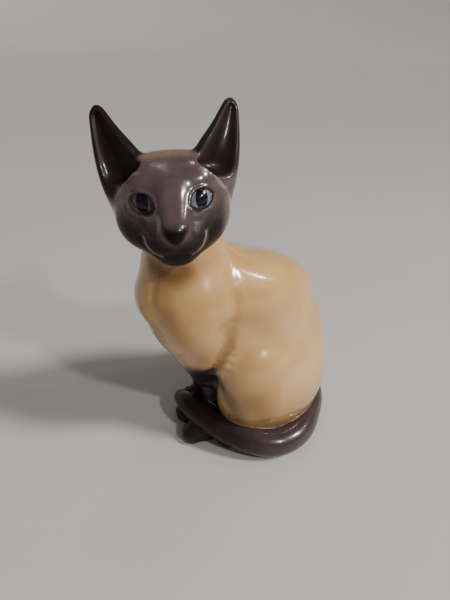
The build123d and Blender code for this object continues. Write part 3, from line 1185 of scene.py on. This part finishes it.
CAMERA_PLACE = (-16.0, -233.0, 222.0)
CAMERA_DOWN = 31.5  # degrees below level
SENSOR, FOCAL = 36.0, 28.2

FLOOR_RADIUS = 3.0  # metres of level floor round the cat
FLOOR_RINGS = (0.02, 0.6)  # the level floor's inner rings, in metres
SWEEP_RADIUS, SWEEP_TURN = 1.8, 50.0  # the floor then curves up all round, so no hard horizon shows
SWEEP_STEPS, TURNS = 14, 96

LIT_POINT = Vector((0.0, 0.0, 0.1))
# Each lamp's azimuth and elevation, its size in metres and its power.
LAMPS = {
    "front": (42.0, 37.0, 0.055, 2.9),
    "side": (98.0, 31.0, 0.05, 0.6),
    "overhead": (178.0, 72.0, 0.1, 0.35),
}
LAMP_DISTANCE = 0.9
SUN_PLACE, SUN_ENERGY, SUN_ANGLE = (76.0, 40.0), 2.6, 10.0
SKY_COLOUR, SKY_STRENGTH = (0.62, 0.61, 0.6, 1), 0.3


def add_camera():
    data = bpy.data.cameras.new("camera")
    data.sensor_width = SENSOR
    data.lens = FOCAL
    data.clip_start = 0.01
    camera = bpy.data.objects.new("camera", data)
    camera.location = Vector(CAMERA_PLACE) * MM
    camera.rotation_euler = (radians(90.0 - CAMERA_DOWN), 0.0, 0.0)
    bpy.context.scene.collection.objects.link(camera)
    bpy.context.scene.camera = camera


def floor_profile():
    """The floor's radius and height, from its middle out to the top of its raised edge."""
    profile = [(radius, 0.0) for radius in FLOOR_RINGS]
    for step in range(SWEEP_STEPS + 1):
        turn = radians(SWEEP_TURN) * step / SWEEP_STEPS
        profile.append((FLOOR_RADIUS + SWEEP_RADIUS * sin(turn), SWEEP_RADIUS * (1.0 - cos(turn))))
    return profile


def studio_floor():
    """A round level floor whose edge curves up."""
    profile = floor_profile()
    points = [(0.0, 0.0, 0.0)]
    for radius, height in profile:
        for turn in range(TURNS):
            angle = radians(360.0) * turn / TURNS
            points.append((radius * cos(angle), radius * sin(angle), height))
    faces = [(0, 1 + turn, 1 + (turn + 1) % TURNS) for turn in range(TURNS)]
    for ring in range(len(profile) - 1):
        here, outer = 1 + ring * TURNS, 1 + (ring + 1) * TURNS
        for turn in range(TURNS):
            after = (turn + 1) % TURNS
            faces.append((here + turn, outer + turn, outer + after, here + after))
    mesh = bpy.data.meshes.new("floor")
    mesh.from_pydata(points, [], faces)
    mesh.polygons.foreach_set("use_smooth", [True] * len(faces))
    mesh.materials.append(floor_material())
    floor = bpy.data.objects.new("floor", mesh)
    bpy.context.scene.collection.objects.link(floor)


def towards(azimuth, elevation):
    """The direction of azimuth, measured from the display front to its right, and elevation."""
    turn, rise = radians(azimuth), radians(elevation)
    return Vector((sin(turn) * cos(rise), -cos(turn) * cos(rise), sin(rise)))


def add_lamp(name, azimuth, elevation, size, power):
    """A square lamp that shines on the cat from a direction."""
    data = bpy.data.lights.new(name, "AREA")
    data.shape = "RECTANGLE"
    data.size, data.size_y = size, size
    data.energy = power
    direction = towards(azimuth, elevation)
    light = bpy.data.objects.new(name, data)
    light.location = LIT_POINT + direction * LAMP_DISTANCE
    light.rotation_euler = (-direction).to_track_quat("-Z", "Y").to_euler()
    bpy.context.scene.collection.objects.link(light)


def add_sun():
    sun = bpy.data.objects.new("sun", bpy.data.lights.new("sun", "SUN"))
    sun.data.energy, sun.data.angle = SUN_ENERGY, radians(SUN_ANGLE)
    sun.rotation_euler = towards(*SUN_PLACE).to_track_quat("Z", "Y").to_euler()
    bpy.context.scene.collection.objects.link(sun)


def add_sky():
    world = bpy.data.worlds.new("studio")
    world.use_nodes = True
    background = world.node_tree.nodes["Background"]
    background.inputs["Color"].default_value = SKY_COLOUR
    background.inputs["Strength"].default_value = SKY_STRENGTH
    bpy.context.scene.world = world


add_camera()
studio_floor()
add_sun()
for name, settings in LAMPS.items():
    add_lamp(name, *settings)
add_sky()
